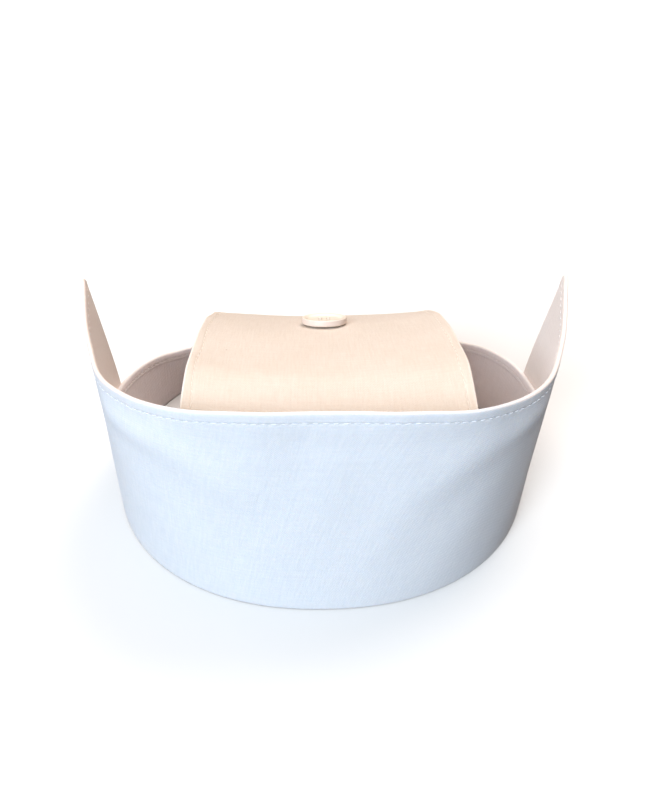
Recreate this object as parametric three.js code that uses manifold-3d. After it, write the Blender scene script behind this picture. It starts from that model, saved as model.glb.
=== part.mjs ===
// Nurse cap of stiffened white cloth, standing by itself on its bottom edge.
// Millimetres, +Z up, the front faces -Y, the origin lies below the middle of the cap on the surface it stands on.

import * as THREE from 'three';
import { mergeVertices } from 'three/addons/utils/BufferGeometryUtils.js';
import Module from 'manifold-3d';

const wasm = await Module();
wasm.setup();

// Band, the closed ring that goes round the head
const BAND_WIDTH = 186.5; // outside, from left to right
const BAND_DEPTH = 187.7; // outside, from front to back
const BAND_WIDEST = 2.8; // how far behind the middle of that depth the band is widest
const BAND_SQUARENESS = 2.2; // 2 is an ellipse, more is squarer
const BAND_WALL = 2;
const BAND_FRONT_HEIGHT = 75; // hidden behind the cuff
const BAND_BACK_HEIGHT = 22;
const BAND_RIM_TILT = 2; // how far the rim rises to the right side and falls to the left side
const BAND_LEAN = 5.5; // how far the wall has leaned out at the height of the band's front, where it leans most
const SWAY = 1.6; // how far the cap stands to the right of its bottom edge, at the height of the band's front

// Cuff, the tall front strip whose two ends stand free as wings
const CUFF_GAP = 0.3; // between the band's outside and the cuff's inside
const CUFF_WALL = 2;
const CUFF_FRONT_HEIGHT = 95.5;
const CUFF_SIDE_HEIGHT = 87; // the lowest place of its top edge
const CUFF_RIGHT_DIP = 2; // how much lower it is halfway round the right side than round the left side
const CUFF_REACH = 101.5; // degrees from the front to the end edge, at the bottom
const WING_HEIGHT = 99.5;
const WING_SET_FORWARD = 11.5; // degrees by which the end edge has come forward at the tip
const WING_CURL = 2.5; // outward at the tip, beyond the lean of the wall
const WING_CURL_START = 45; // height at which the curl starts
const WING_TIP_RADIUS = 4;

// Crown flap, the strip that rises inside the front, crosses the head and goes down inside the back
const FLAP_GAP = 0.4; // between the band's inside and the flap
const FLAP_THICKNESS = 2;
const FLAP_FRONT_WIDTH = 108;
const FLAP_BACK_WIDTH = 102;
const FLAP_HEIGHT = 88.5;
const FLAP_FOOT = 1; // height of both its ends above the surface
const FLAP_SAG = 1.5; // how far its middle sinks between its side edges
const FLAP_BOW = 6.6; // how far a line across it bends back at the side edges

// Button on the middle of the crown flap
const BUTTON_DIAMETER = 20;
const BUTTON_THICKNESS = 2.8;
const BUTTON_EDGE = 2.4; // width of the raised rim
const BUTTON_DISH = 0.9; // depth of the hollow inside the rim
const BUTTON_HOLE = 2; // diameter of each sewing hole
const BUTTON_HOLE_SPACING = 3.6;
const BUTTON_GAP = 0.3;
const BUTTON_PLACE = -0.01; // from the band's widest place towards its back, as a share of its half depth

// How finely the shapes are cut into facets
const CUFF_COLUMNS = 66;
const CUFF_ROWS = 12;
const BAND_COLUMNS = 72;
const BAND_ROWS = 4;
const FLAP_STATIONS = 64;
const FLAP_COLUMNS = 12;
const BUTTON_SIDES = 32;
const HOLE_SIDES = 12;
const EDGE_STEPS = 3;

// Band: at is the share of the half turn from front to back,
// rim goes from 0 at the back's height to 1 at the front's height, lean is a share of the band's lean
const BAND_TABLE = [
  { at: 0.0, rim: 1.0, lean: -0.3 },
  { at: 0.02, rim: 1.0, lean: -0.3 },
  { at: 0.1, rim: 0.97, lean: 0.15 },
  { at: 0.2, rim: 0.83, lean: 0.85 },
  { at: 0.29, rim: 0.7, lean: 1.0 },
  { at: 0.38, rim: 0.56, lean: 0.75 },
  { at: 0.455, rim: 0.44, lean: 0.78 },
  { at: 0.53, rim: 0.34, lean: 0.9 },
  { at: 0.58, rim: 0.287, lean: 0.8 },
  { at: 0.63, rim: 0.226, lean: 0.6 },
  { at: 0.67, rim: 0.174, lean: 0.45 },
  { at: 0.71, rim: 0.11, lean: 0.3 },
  { at: 0.76, rim: 0.055, lean: 0.2 },
  { at: 0.85, rim: 0.02, lean: 0.1 },
  { at: 1.0, rim: 0.0, lean: 0.0 },
];

// Cuff: at is the share of the way from the front to the end edge, front and wing are shares of the rise
// of its top edge above the side's height, curl is a share of the wing's curl
const CUFF_TABLE = [
  { at: 0.0, front: 1.0, wing: 0.0, curl: 0.0 },
  { at: 0.17, front: 1.0, wing: 0.0, curl: 0.0 },
  { at: 0.34, front: 0.7, wing: 0.0, curl: 0.0 },
  { at: 0.5, front: 0.22, wing: 0.0, curl: 0.0 },
  { at: 0.65, front: 0.0, wing: 0.0, curl: 0.05 },
  { at: 0.78, front: 0.0, wing: 0.2, curl: 0.3 },
  { at: 0.88, front: 0.0, wing: 0.52, curl: 0.6 },
  { at: 0.94, front: 0.0, wing: 0.8, curl: 0.8 },
  { at: 1.0, front: 0.0, wing: 1.05, curl: 1.0 },
];

// Side view of the crown flap: at is the share of its length from front to back,
// along goes from -1 at the front wall to 1 at the back wall, up is a share of its height,
// free is 0 where it lies against the wall and 1 where it is clear of it,
// bow is a share of its bow, sag of its sag, taper goes from 0 at the front width to 1 at the back width
const FLAP_TABLE = [
  { at: 0.0, along: -1.0, up: 0.0, free: 0, bow: 1.0, sag: 0.0, taper: 0.0 },
  { at: 0.233, along: -0.98, up: 0.777, free: 0, bow: 1.0, sag: 0.0, taper: 0.0 },
  { at: 0.26, along: -0.96, up: 0.869, free: 1, bow: 1.0, sag: 0.0, taper: 0.0 },
  { at: 0.28, along: -0.92, up: 0.92, free: 1, bow: 1.0, sag: 0.1, taper: 0.05 },
  { at: 0.306, along: -0.847, up: 0.954, free: 1, bow: 1.0, sag: 0.2, taper: 0.1 },
  { at: 0.338, along: -0.755, up: 0.983, free: 1, bow: 1.0, sag: 0.35, taper: 0.17 },
  { at: 0.368, along: -0.655, up: 1.0, free: 1, bow: 1.0, sag: 0.5, taper: 0.25 },
  { at: 0.405, along: -0.539, up: 0.989, free: 1, bow: 0.95, sag: 0.65, taper: 0.35 },
  { at: 0.45, along: -0.405, up: 0.966, free: 1, bow: 0.9, sag: 0.8, taper: 0.45 },
  { at: 0.51, along: -0.217, up: 0.928, free: 1, bow: 0.8, sag: 0.95, taper: 0.6 },
  { at: 0.57, along: -0.038, up: 0.874, free: 1, bow: 0.7, sag: 1.0, taper: 0.75 },
  { at: 0.628, along: 0.144, up: 0.8, free: 1, bow: 0.6, sag: 1.0, taper: 0.85 },
  { at: 0.6875, along: 0.32, up: 0.718, free: 1, bow: 0.5, sag: 1.0, taper: 0.95 },
  { at: 0.747, along: 0.496, up: 0.623, free: 1, bow: 0.2, sag: 0.8, taper: 1.0 },
  { at: 0.804, along: 0.654, up: 0.52, free: 1, bow: -0.3, sag: 0.5, taper: 1.0 },
  { at: 0.855, along: 0.789, up: 0.417, free: 1, bow: -0.9, sag: 0.3, taper: 1.0 },
  { at: 0.895, along: 0.891, up: 0.32, free: 1, bow: -1.4, sag: 0.1, taper: 1.0 },
  { at: 0.929, along: 0.95, up: 0.229, free: 1, bow: -1.8, sag: 0.0, taper: 1.0 },
  { at: 0.966, along: 0.99, up: 0.114, free: 0, bow: -1.9, sag: 0.0, taper: 1.0 },
  { at: 1.0, along: 1.0, up: 0.0, free: 0, bow: -1.9, sag: 0.0, taper: 1.0 },
];

const lerp = THREE.MathUtils.lerp;
const radians = THREE.MathUtils.degToRad;

// A smooth curve through one column of a table, which never swings past the values of its rows.
function smoothColumn(table, column) {
  const slopes = table.slice(1).map((row, i) => (row[column] - table[i][column]) / (row.at - table[i].at));
  const tangents = table.map((row, i) => {
    const before = slopes[i - 1] ?? slopes[i];
    const after = slopes[i] ?? slopes[i - 1];
    return before * after <= 0 ? 0 : (2 * before * after) / (before + after);
  });
  return (at) => {
    const last = table.length - 2;
    const found = table.findIndex((row, i) => i <= last && at < table[i + 1].at);
    const i = found < 0 ? last : found;
    const span = table[i + 1].at - table[i].at;
    const t = THREE.MathUtils.clamp((at - table[i].at) / span, 0, 1);
    const u = 1 - t;
    const start = table[i][column] * (1 + 2 * t) * u * u;
    const end = table[i + 1][column] * (1 + 2 * u) * t * t;
    return start + end + span * t * u * (tangents[i] * u - tangents[i + 1] * t);
  };
}

const smoothTable = (table) => {
  const columns = Object.keys(table[0]).filter((key) => key !== 'at');
  return Object.fromEntries(columns.map((key) => [key, smoothColumn(table, key)]));
};
const bandColumn = smoothTable(BAND_TABLE);
const cuffColumn = smoothTable(CUFF_TABLE);
const flapColumn = smoothTable(FLAP_TABLE);

// Half depth of the band's outside, before or behind its widest place.
function halfDepth(front) {
  return BAND_DEPTH / 2 + (front ? BAND_WIDEST : -BAND_WIDEST);
}

// Direction out of the band's oval at one of its points.
function ovalNormal(x, y) {
  const power = BAND_SQUARENESS - 1;
  const across = (Math.sign(x) * Math.abs(x / (BAND_WIDTH / 2)) ** power) / (BAND_WIDTH / 2);
  const ahead = (Math.sign(y) * Math.abs(y / halfDepth(y < 0)) ** power) / halfDepth(y < 0);
  return new THREE.Vector2(across, ahead).normalize();
}

// Point of the band's oval at an angle from the front, moved out by some distance along its normal.
function ovalPoint(angle, out) {
  const side = Math.sin(angle);
  const ahead = Math.cos(angle);
  const power = BAND_SQUARENESS;
  const size = Math.abs(side / (BAND_WIDTH / 2)) ** power + Math.abs(ahead / halfDepth(ahead > 0)) ** power;
  const radius = size ** (-1 / power);
  const point = new THREE.Vector2(radius * side, -radius * ahead);
  return point.addScaledVector(ovalNormal(point.x, point.y), out);
}

// How far the wall has moved out along its normal at a height.
function bandLean(angle, z) {
  return BAND_LEAN * bandColumn.lean(Math.abs(angle) / Math.PI) * (z / BAND_FRONT_HEIGHT);
}

// Distance from the widest place to the wall, moved in by some distance, at a place x across and a height.
function wallDepth(x, z, inset, front) {
  const across = Math.min(Math.abs(x) / (BAND_WIDTH / 2 - inset), 1);
  const depth = (halfDepth(front) - inset) * (1 - across ** BAND_SQUARENESS) ** (1 / BAND_SQUARENESS);
  const y = front ? -depth : depth;
  const lean = bandLean(Math.atan2(x, -y), z);
  return depth + lean / Math.abs(ovalNormal(x, y).y);
}

// The whole cap leans a little to the right with height.
function swayed(x, y, z) {
  return new THREE.Vector3(x + (SWAY * z) / BAND_FRONT_HEIGHT, y, z);
}

// A closed solid through loops of points. The loops are joined in a ring, or closed by an end face at both ends.
// Each loop goes along one side of a wall and back on the other, so an end face is filled by strips across the wall.
// The point at j faces the point at opposite - j.
function loft(loops, ring, opposite = 0) {
  const count = loops[0].length;
  const positions = loops.flat().flatMap((point) => point.toArray());
  const faces = [];
  const lastLoop = ring ? loops.length : loops.length - 1;
  for (let i = 0; i < lastLoop; i += 1) {
    const here = i * count;
    const next = ((i + 1) % loops.length) * count;
    for (let j = 0; j < count; j += 1) {
      const k = (j + 1) % count;
      faces.push(here + j, next + j, next + k);
      faces.push(here + j, next + k, here + k);
    }
  }
  const end = (loops.length - 1) * count;
  for (let j = 0; !ring && 2 * j + 2 <= opposite; j += 1) {
    const across = (opposite - j) % count;
    const before = opposite - j - 1;
    if (j + 1 !== before) {
      faces.push(j, j + 1, before);
      faces.push(end + j, end + before, end + j + 1);
    }
    if (j !== across) {
      faces.push(j, before, across);
      faces.push(end + j, end + across, end + before);
    }
  }
  const geometry = new THREE.BufferGeometry();
  geometry.setAttribute('position', new THREE.Float32BufferAttribute(positions, 3));
  geometry.setIndex(faces);
  return geometry;
}

// Band: wall sections all the way round, each with a rounded top edge
function bandRim(angle) {
  const turn = Math.abs(angle) / Math.PI;
  return lerp(BAND_BACK_HEIGHT, BAND_FRONT_HEIGHT, bandColumn.rim(turn)) + BAND_RIM_TILT * Math.sin(angle);
}

// One section of an upright wall: up its outside, over a half round edge, down its inside.
function wallLoop(rows, top, wall, place) {
  const round = wall / 2;
  const loop = [];
  for (let j = 0; j <= rows; j += 1) {
    loop.push(place(wall, ((top - round) * j) / rows));
  }
  for (let j = 1; j < EDGE_STEPS + 1; j += 1) {
    const turn = (Math.PI * j) / (EDGE_STEPS + 1);
    loop.push(place(round + round * Math.cos(turn), top - round + round * Math.sin(turn)));
  }
  for (let j = rows; j >= 0; j -= 1) {
    loop.push(place(0, ((top - round) * j) / rows));
  }
  return loop;
}

function makeBand() {
  const loops = [];
  for (let i = 0; i < BAND_COLUMNS; i += 1) {
    const angle = -Math.PI + (2 * Math.PI * i) / BAND_COLUMNS;
    const place = (out, z) => {
      const point = ovalPoint(angle, out - BAND_WALL + bandLean(angle, z));
      return swayed(point.x, point.y, z);
    };
    loops.push(wallLoop(BAND_ROWS, bandRim(angle), BAND_WALL, place));
  }
  return loft(loops, true);
}

// Cuff: wall sections from one wing's end edge to the other's
function cuffReach(z) {
  return radians(CUFF_REACH - (WING_SET_FORWARD * z) / WING_HEIGHT);
}

// The tip is rounded: its height falls as a quarter circle over the tip's radius.
function tipDrop(share) {
  const fromEnd = (1 - Math.abs(share)) * cuffReach(WING_HEIGHT) * (BAND_WIDTH / 2);
  const inside = THREE.MathUtils.clamp(1 - fromEnd / WING_TIP_RADIUS, 0, 1);
  return WING_TIP_RADIUS * (1 - Math.sqrt(1 - inside * inside));
}

function cuffTop(share) {
  const at = Math.abs(share);
  const front = (CUFF_FRONT_HEIGHT - CUFF_SIDE_HEIGHT) * cuffColumn.front(at);
  const wing = (WING_HEIGHT - CUFF_SIDE_HEIGHT) * cuffColumn.wing(at);
  const dip = CUFF_RIGHT_DIP * Math.sin(Math.PI * Math.max(share, 0)) ** 2;
  return CUFF_SIDE_HEIGHT + front + wing - dip - tipDrop(share);
}

// The cuff follows the lean of the band's wall, and its wings curl out beyond it.
function cuffPoint(share, out, z) {
  const angle = share * cuffReach(z);
  const curled = Math.max(z - WING_CURL_START, 0) / (WING_HEIGHT - WING_CURL_START);
  const curl = WING_CURL * cuffColumn.curl(Math.abs(share)) * curled ** 1.5;
  const point = ovalPoint(angle, CUFF_GAP + out + bandLean(angle, z) + curl);
  return swayed(point.x, point.y, z);
}

function makeCuff() {
  const loops = [];
  for (let i = 0; i <= CUFF_COLUMNS; i += 1) {
    const even = -1 + (2 * i) / CUFF_COLUMNS;
    const share = lerp(even, Math.sin((even * Math.PI) / 2), 0.6);
    const place = (out, z) => cuffPoint(share, out, z);
    loops.push(wallLoop(CUFF_ROWS, cuffTop(share), CUFF_WALL, place));
  }
  return loft(loops, false, loops[0].length - 1);
}

// Crown flap: sections across it, from the foot inside the front to the foot inside the back.
// A point of it lies on its outer side, which is the upper side where it crosses the head.
function flapPoint(at, across) {
  const inset = BAND_WALL + FLAP_GAP;
  const width = lerp(FLAP_FRONT_WIDTH, FLAP_BACK_WIDTH, flapColumn.taper(at));
  const along = flapColumn.along(at);
  const front = along < 0;
  const x = (across * width) / 2;
  const level = lerp(FLAP_FOOT, FLAP_HEIGHT, flapColumn.up(at));
  const z = level - FLAP_SAG * flapColumn.sag(at) * (1 - across * across);
  const atWall = wallDepth(x, z, inset, front) * (front ? -1 : 1);
  const clear = (halfDepth(front) - inset) * along + FLAP_BOW * flapColumn.bow(at) * across * across;
  return swayed(x, lerp(atWall, clear, flapColumn.free(at)), z);
}

// The direction out of the flap's upper side.
function flapNormal(at, across) {
  const step = 0.002;
  const ahead = flapPoint(Math.min(at + step, 1), across).sub(flapPoint(Math.max(at - step, 0), across));
  const aside = flapPoint(at, across + step).sub(flapPoint(at, across - step));
  return aside.cross(ahead).normalize();
}

// One section starts and ends at the middle of the left edge, which is half round as the right edge is.
function makeFlap() {
  const round = FLAP_THICKNESS / 2;
  const loops = [];
  for (let i = 0; i <= FLAP_STATIONS; i += 1) {
    const at = i / FLAP_STATIONS;
    const place = (across, up, beyond) => {
      const outward = flapNormal(at, across).multiplyScalar(up - round);
      return flapPoint(at, across).add(outward).add(new THREE.Vector3(beyond, 0, 0));
    };
    const edge = (side, turn) => place(side, round * Math.cos(turn), side * round * Math.sin(turn));
    const turns = Array.from({ length: EDGE_STEPS }, (_, j) => (Math.PI * (j + 1)) / (EDGE_STEPS + 1));
    const leftEdge = turns.map((turn) => edge(-1, turn));
    const rightEdge = turns.map((turn) => edge(1, turn));
    const acrosses = Array.from({ length: FLAP_COLUMNS + 1 }, (_, j) => -1 + (2 * j) / FLAP_COLUMNS);
    const upper = acrosses.map((across) => place(across, round, 0));
    const lower = acrosses.map((across) => place(across, -round, 0));
    const middle = (EDGE_STEPS - 1) / 2;
    loops.push([
      ...leftEdge.slice(middle),
      ...lower,
      ...rightEdge.reverse(),
      ...upper.reverse(),
      ...leftEdge.slice(0, middle),
    ]);
  }
  return loft(loops, false, loops[0].length);
}

// Button: a turned disc with a raised rim, cut through by its sewing holes
function toSolid(geometry) {
  const bare = geometry.clone();
  bare.deleteAttribute('normal');
  bare.deleteAttribute('uv');
  const merged = mergeVertices(bare);
  const vertProperties = new Float32Array(merged.attributes.position.array);
  const triVerts = new Uint32Array(merged.index.array);
  return new wasm.Manifold(new wasm.Mesh({ numProp: 3, vertProperties, triVerts }));
}

function toGeometry(solid) {
  const mesh = solid.getMesh();
  const geometry = new THREE.BufferGeometry();
  geometry.setAttribute('position', new THREE.Float32BufferAttribute(mesh.vertProperties, 3));
  geometry.setIndex(Array.from(mesh.triVerts));
  return geometry;
}

function makeButton() {
  const radius = BUTTON_DIAMETER / 2;
  const dish = BUTTON_THICKNESS - BUTTON_DISH;
  const profile = [
    [0, 0],
    [radius * 0.84, 0],
    [radius * 0.97, BUTTON_THICKNESS * 0.25],
    [radius, BUTTON_THICKNESS * 0.55],
    [radius * 0.97, BUTTON_THICKNESS * 0.85],
    [radius * 0.91, BUTTON_THICKNESS],
    [radius - BUTTON_EDGE * 0.6, BUTTON_THICKNESS * 0.97],
    [radius - BUTTON_EDGE, lerp(dish, BUTTON_THICKNESS, 0.25)],
    [radius - BUTTON_EDGE * 1.4, dish],
    [0, dish],
  ].map(([x, y]) => new THREE.Vector2(x, y));
  let solid = toSolid(new THREE.LatheGeometry(profile, BUTTON_SIDES));
  for (const [side, ahead] of [[-1, -1], [1, -1], [1, 1], [-1, 1]]) {
    const hole = new THREE.CylinderGeometry(BUTTON_HOLE / 2, BUTTON_HOLE / 2, BUTTON_THICKNESS * 3, HOLE_SIDES);
    hole.translate((side * BUTTON_HOLE_SPACING) / 2, 0, (ahead * BUTTON_HOLE_SPACING) / 2);
    solid = solid.subtract(toSolid(hole));
  }
  return toGeometry(solid).rotateX(Math.PI / 2);
}

// The share of the flap's length at which its middle line reaches a place between front and back.
function flapAt(along) {
  let low = 0;
  let high = 1;
  for (let i = 0; i < 40; i += 1) {
    const middle = (low + high) / 2;
    if (flapColumn.along(middle) < along) {
      low = middle;
    } else {
      high = middle;
    }
  }
  return (low + high) / 2;
}

// The button lies flat on the flap, clear of the highest cloth under its edge.
function placeButton(button) {
  const at = flapAt(BUTTON_PLACE);
  const seat = flapPoint(at, 0);
  const normal = flapNormal(at, 0);
  let rise = 0;
  for (let i = 0; i < BUTTON_SIDES; i += 1) {
    const turn = (2 * Math.PI * i) / BUTTON_SIDES;
    const back = (Math.sin(turn) * BUTTON_DIAMETER) / BAND_DEPTH;
    const side = (Math.cos(turn) * BUTTON_DIAMETER) / FLAP_BACK_WIDTH;
    const near = flapPoint(flapAt(BUTTON_PLACE + back), side);
    rise = Math.max(rise, near.sub(seat).dot(normal));
  }
  button.quaternion.setFromUnitVectors(new THREE.Vector3(0, 0, 1), normal);
  button.position.copy(seat).addScaledVector(normal, rise + BUTTON_GAP);
}

// Materials: white cotton outside, the same cotton in a warmer light inside, off-white plastic
const coolCloth = new THREE.MeshStandardMaterial({ color: 0xe9f1fb, roughness: 0.85, metalness: 0 });
const plainCloth = new THREE.MeshStandardMaterial({ color: 0xe9dcd6, roughness: 0.88, metalness: 0 });
const warmCloth = new THREE.MeshStandardMaterial({ color: 0xfcecd8, roughness: 0.88, metalness: 0 });
const plastic = new THREE.MeshStandardMaterial({ color: 0xfaf0de, roughness: 0.45, metalness: 0 });

function piece(name, geometry, material) {
  const mesh = new THREE.Mesh(geometry, material);
  mesh.name = name;
  geometry.computeVertexNormals();
  return mesh;
}

const cap = new THREE.Group();
cap.name = 'nurse_cap';
const button = piece('button', makeButton(), plastic);
placeButton(button);
cap.add(piece('band', makeBand(), plainCloth));
cap.add(piece('cuff', makeCuff(), coolCloth));
cap.add(piece('crown_flap', makeFlap(), warmCloth));
cap.add(button);

// The origin lies below the middle of the whole cap.
const middle = new THREE.Box3().setFromObject(cap).getCenter(new THREE.Vector3());
cap.position.set(-middle.x, -middle.y, 0);

export default cap;
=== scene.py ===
"""Nurse cap of stiffened white cloth: fine cloth surfaces, hems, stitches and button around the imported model.

Shapes are worked out in millimetres, in the same named sizes as the model, and turned into metres when a mesh
is made. Angles round the cap are measured from its front.
"""

import math

import bmesh
import bpy
import numpy as np
from mathutils import Matrix, Vector


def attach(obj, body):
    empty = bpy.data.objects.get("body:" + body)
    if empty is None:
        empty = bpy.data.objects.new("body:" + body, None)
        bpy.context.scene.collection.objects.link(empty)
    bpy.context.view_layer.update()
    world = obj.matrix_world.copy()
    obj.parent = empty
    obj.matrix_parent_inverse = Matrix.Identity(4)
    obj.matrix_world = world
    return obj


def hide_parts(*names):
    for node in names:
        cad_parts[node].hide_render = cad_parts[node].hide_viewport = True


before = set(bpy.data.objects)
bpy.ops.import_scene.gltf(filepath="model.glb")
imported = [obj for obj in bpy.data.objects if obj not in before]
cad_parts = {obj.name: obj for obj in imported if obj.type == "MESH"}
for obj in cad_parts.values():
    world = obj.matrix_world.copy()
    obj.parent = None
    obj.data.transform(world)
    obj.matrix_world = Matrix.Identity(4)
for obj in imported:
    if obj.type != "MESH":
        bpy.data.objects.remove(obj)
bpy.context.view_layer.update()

MM = 0.001

# Band, the ring round the head
BAND_WIDTH = 186.5
BAND_DEPTH = 187.7
BAND_WIDEST = 2.8  # how far behind the middle of that depth the band is widest
BAND_SQUARENESS = 2.2  # 2 is an ellipse, more is squarer
BAND_WALL = 2.0
BAND_FRONT_HEIGHT = 75.0
BAND_BACK_HEIGHT = 22.0
BAND_RIM_TILT = 2.0  # how far the rim rises to the right side and falls to the left side
BAND_LEAN = 5.5  # how far the wall has leaned out at the height of the band's front
SWAY = 1.6  # how far the cap stands to the right of its bottom edge, at that height

# Cuff, the tall front strip
CUFF_GAP = 0.3  # between it and the band
CUFF_WALL = 2.0
CUFF_FRONT_HEIGHT = 95.5
CUFF_SIDE_HEIGHT = 87.0
CUFF_RIGHT_DIP = 2.0  # how much lower its top edge is at the right side
CUFF_REACH = 101.5  # degrees from the front to the end edge, at the bottom
WING_HEIGHT = 99.5
WING_SET_FORWARD = 11.5  # degrees by which the end edge has come forward at the tip
WING_CURL = 2.5  # outward at the tip
WING_CURL_START = 45.0  # height
WING_CURL_POWER = 1.5
WING_TIP_RADIUS = 4.0

# Crown flap
FLAP_GAP = 0.4  # between it and the band
FLAP_THICKNESS = 2.0
FLAP_FRONT_WIDTH = 108.0
FLAP_BACK_WIDTH = 102.0
FLAP_LENGTH = 290.0  # of its cloth, from end to end
FLAP_HEIGHT = 88.5
FLAP_FOOT = 1.0  # height of its ends
FLAP_SAG = 1.5  # how far its middle sinks between its side edges
FLAP_BOW = 6.6  # how far a line across it bends back at the side edges
FLAP_SPREAD = 1.2  # the soft side edges reach this far past the plain model's

# Cloth, hems and thread
CLOTH = 1.7  # thickness that shows at an edge
HEM = 4.5  # from the edge of the cuff to the line of stitches
BAND_HEM = 3.6
FLAP_HEM = 3.7
HEM_PUFF = 0.1  # how far the hem stands proud between its edge and the stitches
HEM_LAYER = 0.15  # step where the folded layer ends, on the side that it is folded to
HEM_FOLD = 1.1  # the folded layer reaches this far past the stitches
GROOVE = 0.13  # depth to which the stitches pull the cloth in
GROOVE_WIDTH = 0.45
STITCH_PITCH = 3.5
STITCH_LENGTH = 2.85
CUFF_SEAM_END = 3.0  # from its end edges
FLAP_SEAM_END = 0.02  # from its ends, as a share of its length
STITCH_SHIFT = 0.06  # at random to either side, as a share of the pitch
STITCH_LENGTH_RANGE = (0.88, 1.08)  # at random, as shares of the length
STITCH_SLANT = 0.04  # at random, as a share of the length
THREAD_RADIUS = 0.185
CUFF_THREAD_RADIUS = 0.24
THREAD_RISE = 0.24  # of the middle of a stitch over its ends
PUCKER = 0.05
PUCKER_WIDTH = 2.2
SIDE_WOBBLE = (0.35, 0.2)  # slow and quick wandering of the stitches along the flap
RIPPLE = 0.3  # slow unevenness of the stiffened cloth
CREASE = 0.95  # soft fold from each upper corner of the cuff down towards the middle
CREASE_WIDTH = 11.0
CREASE_LOW = 56.0  # height of its inner end
CREASE_RISE = 17.0  # from there to its outer end
HEM_FLARE = 0.35  # the band's hem leans out
FLARE = 0.4  # the top of the cuff leans out a little at the middle

# Button
BUTTON_DIAMETER = 20.0
BUTTON_THICKNESS = 2.8
BUTTON_EDGE = 2.4  # width of the raised rim
BUTTON_DISH = 0.9  # depth of the hollow inside the rim
BUTTON_HOLE = 2.0
BUTTON_HOLE_SPACING = 3.6
BUTTON_TAPER = 0.1  # how much less its radius is below
BUTTON_FOOT_WIDTH = 0.8  # of the rounding below
BUTTON_FOOT_HEIGHT = 0.7
BUTTON_ROUND = 0.5  # radius of the rounding above
BUTTON_FLAT = 0.6  # of the rim
BUTTON_BOWL = 0.12  # how much deeper the dish is at its middle
STRAND_RADIUS = 0.22
STRAND_RISE = 0.75
STRAND_SHIFTS = (-0.3, 0.0, 0.3)  # of the strands through one pair of holes
STRAND_REACH = 0.1  # past the middle of its holes
STRAND_CLOSING = 0.96  # the pairs of strands come this much closer at the back holes
BUTTON_SIDES = 96  # of its round mesh
HOLE_SIDES = 24

# Band: at is the share of the half turn from front to back, rim goes from 0 at the back's height to 1 at the
# front's height, lean is a share of the band's lean
BAND_TABLE = {
    "at": (0, 0.02, 0.1, 0.2, 0.29, 0.38, 0.455, 0.53, 0.58, 0.63, 0.67, 0.71, 0.76, 0.85, 1),
    "rim": (1, 1, 0.97, 0.83, 0.7, 0.56, 0.44, 0.34, 0.287, 0.226, 0.174, 0.11, 0.055, 0.02, 0),
    "lean": (-0.3, -0.3, 0.15, 0.85, 1, 0.75, 0.78, 0.9, 0.8, 0.6, 0.45, 0.3, 0.2, 0.1, 0),
}

# Cuff: at is the share of the way from the front to the end edge, front and wing are shares of the rise of its
# top edge above the side's height, curl is a share of the wing's curl
CUFF_TABLE = {
    "at": (0, 0.17, 0.34, 0.5, 0.65, 0.78, 0.88, 0.94, 1),
    "front": (1, 1, 0.7, 0.22, 0, 0, 0, 0, 0),
    "wing": (0, 0, 0, 0, 0, 0.2, 0.52, 0.8, 1.05),
    "curl": (0, 0, 0, 0, 0.05, 0.3, 0.6, 0.8, 1),
}

# Crown flap: at is the share of its length from front to back, along goes from -1 at the front wall to 1 at the
# back wall, up is a share of its height, free is 0 where it lies against the wall and 1 where it is clear, bow
# and sag are shares of its bow and sag, taper goes from 0 at the front width to 1 at the back width
FLAP_TABLE = {
    "at": (
        0, 0.233, 0.26, 0.28, 0.306, 0.338, 0.368, 0.405, 0.45, 0.51,
        0.57, 0.628, 0.6875, 0.747, 0.804, 0.855, 0.895, 0.929, 0.966, 1,
    ),
    "along": (
        -1, -0.98, -0.96, -0.92, -0.847, -0.755, -0.655, -0.539, -0.405, -0.217,
        -0.038, 0.144, 0.32, 0.496, 0.654, 0.789, 0.891, 0.95, 0.99, 1,
    ),
    "up": (
        0, 0.777, 0.869, 0.92, 0.954, 0.983, 1, 0.989, 0.966, 0.928,
        0.874, 0.8, 0.718, 0.623, 0.52, 0.417, 0.32, 0.229, 0.114, 0,
    ),
    "free": (0, 0, 1, 1, 1, 1, 1, 1, 1, 1, 1, 1, 1, 1, 1, 1, 1, 1, 0, 0),
    "bow": (
        1, 1, 1, 1, 1, 1, 1, 0.95, 0.9, 0.8,
        0.7, 0.6, 0.5, 0.2, -0.3, -0.9, -1.4, -1.8, -1.9, -1.9,
    ),
    "sag": (
        0, 0, 0, 0.1, 0.2, 0.35, 0.5, 0.65, 0.8, 0.95,
        1, 1, 1, 0.8, 0.5, 0.3, 0.1, 0, 0, 0,
    ),
    "taper": (
        0, 0, 0, 0.05, 0.1, 0.17, 0.25, 0.35, 0.45, 0.6,
        0.75, 0.85, 0.95, 1, 1, 1, 1, 1, 1, 1,
    ),
}


def smooth_column(table, name):
    """A smooth curve through one column of a table, which never swings past the values of its rows."""
    at = np.array(table["at"], float)
    value = np.array(table[name], float)
    slope = np.diff(value) / np.diff(at)
    before = np.append(slope[:1], slope)
    after = np.append(slope, slope[-1:])
    turns = before * after > 0
    tangent = np.where(turns, 2 * before * after / np.where(turns, before + after, 1), 0)

    def read(x):
        i = np.clip(np.searchsorted(at, x, side="right") - 1, 0, len(at) - 2)
        span = at[i + 1] - at[i]
        t = np.clip((x - at[i]) / span, 0, 1)
        u = 1 - t
        start = value[i] * (1 + 2 * t) * u * u
        end = value[i + 1] * (1 + 2 * u) * t * t
        return start + end + span * t * u * (tangent[i] * u - tangent[i + 1] * t)

    return read


def smooth_table(table):
    """The smooth curves of all its columns, by name."""
    return {name: smooth_column(table, name) for name in table if name != "at"}


band_column = smooth_table(BAND_TABLE)
cuff_column = smooth_table(CUFF_TABLE)
flap_column = smooth_table(FLAP_TABLE)


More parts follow.
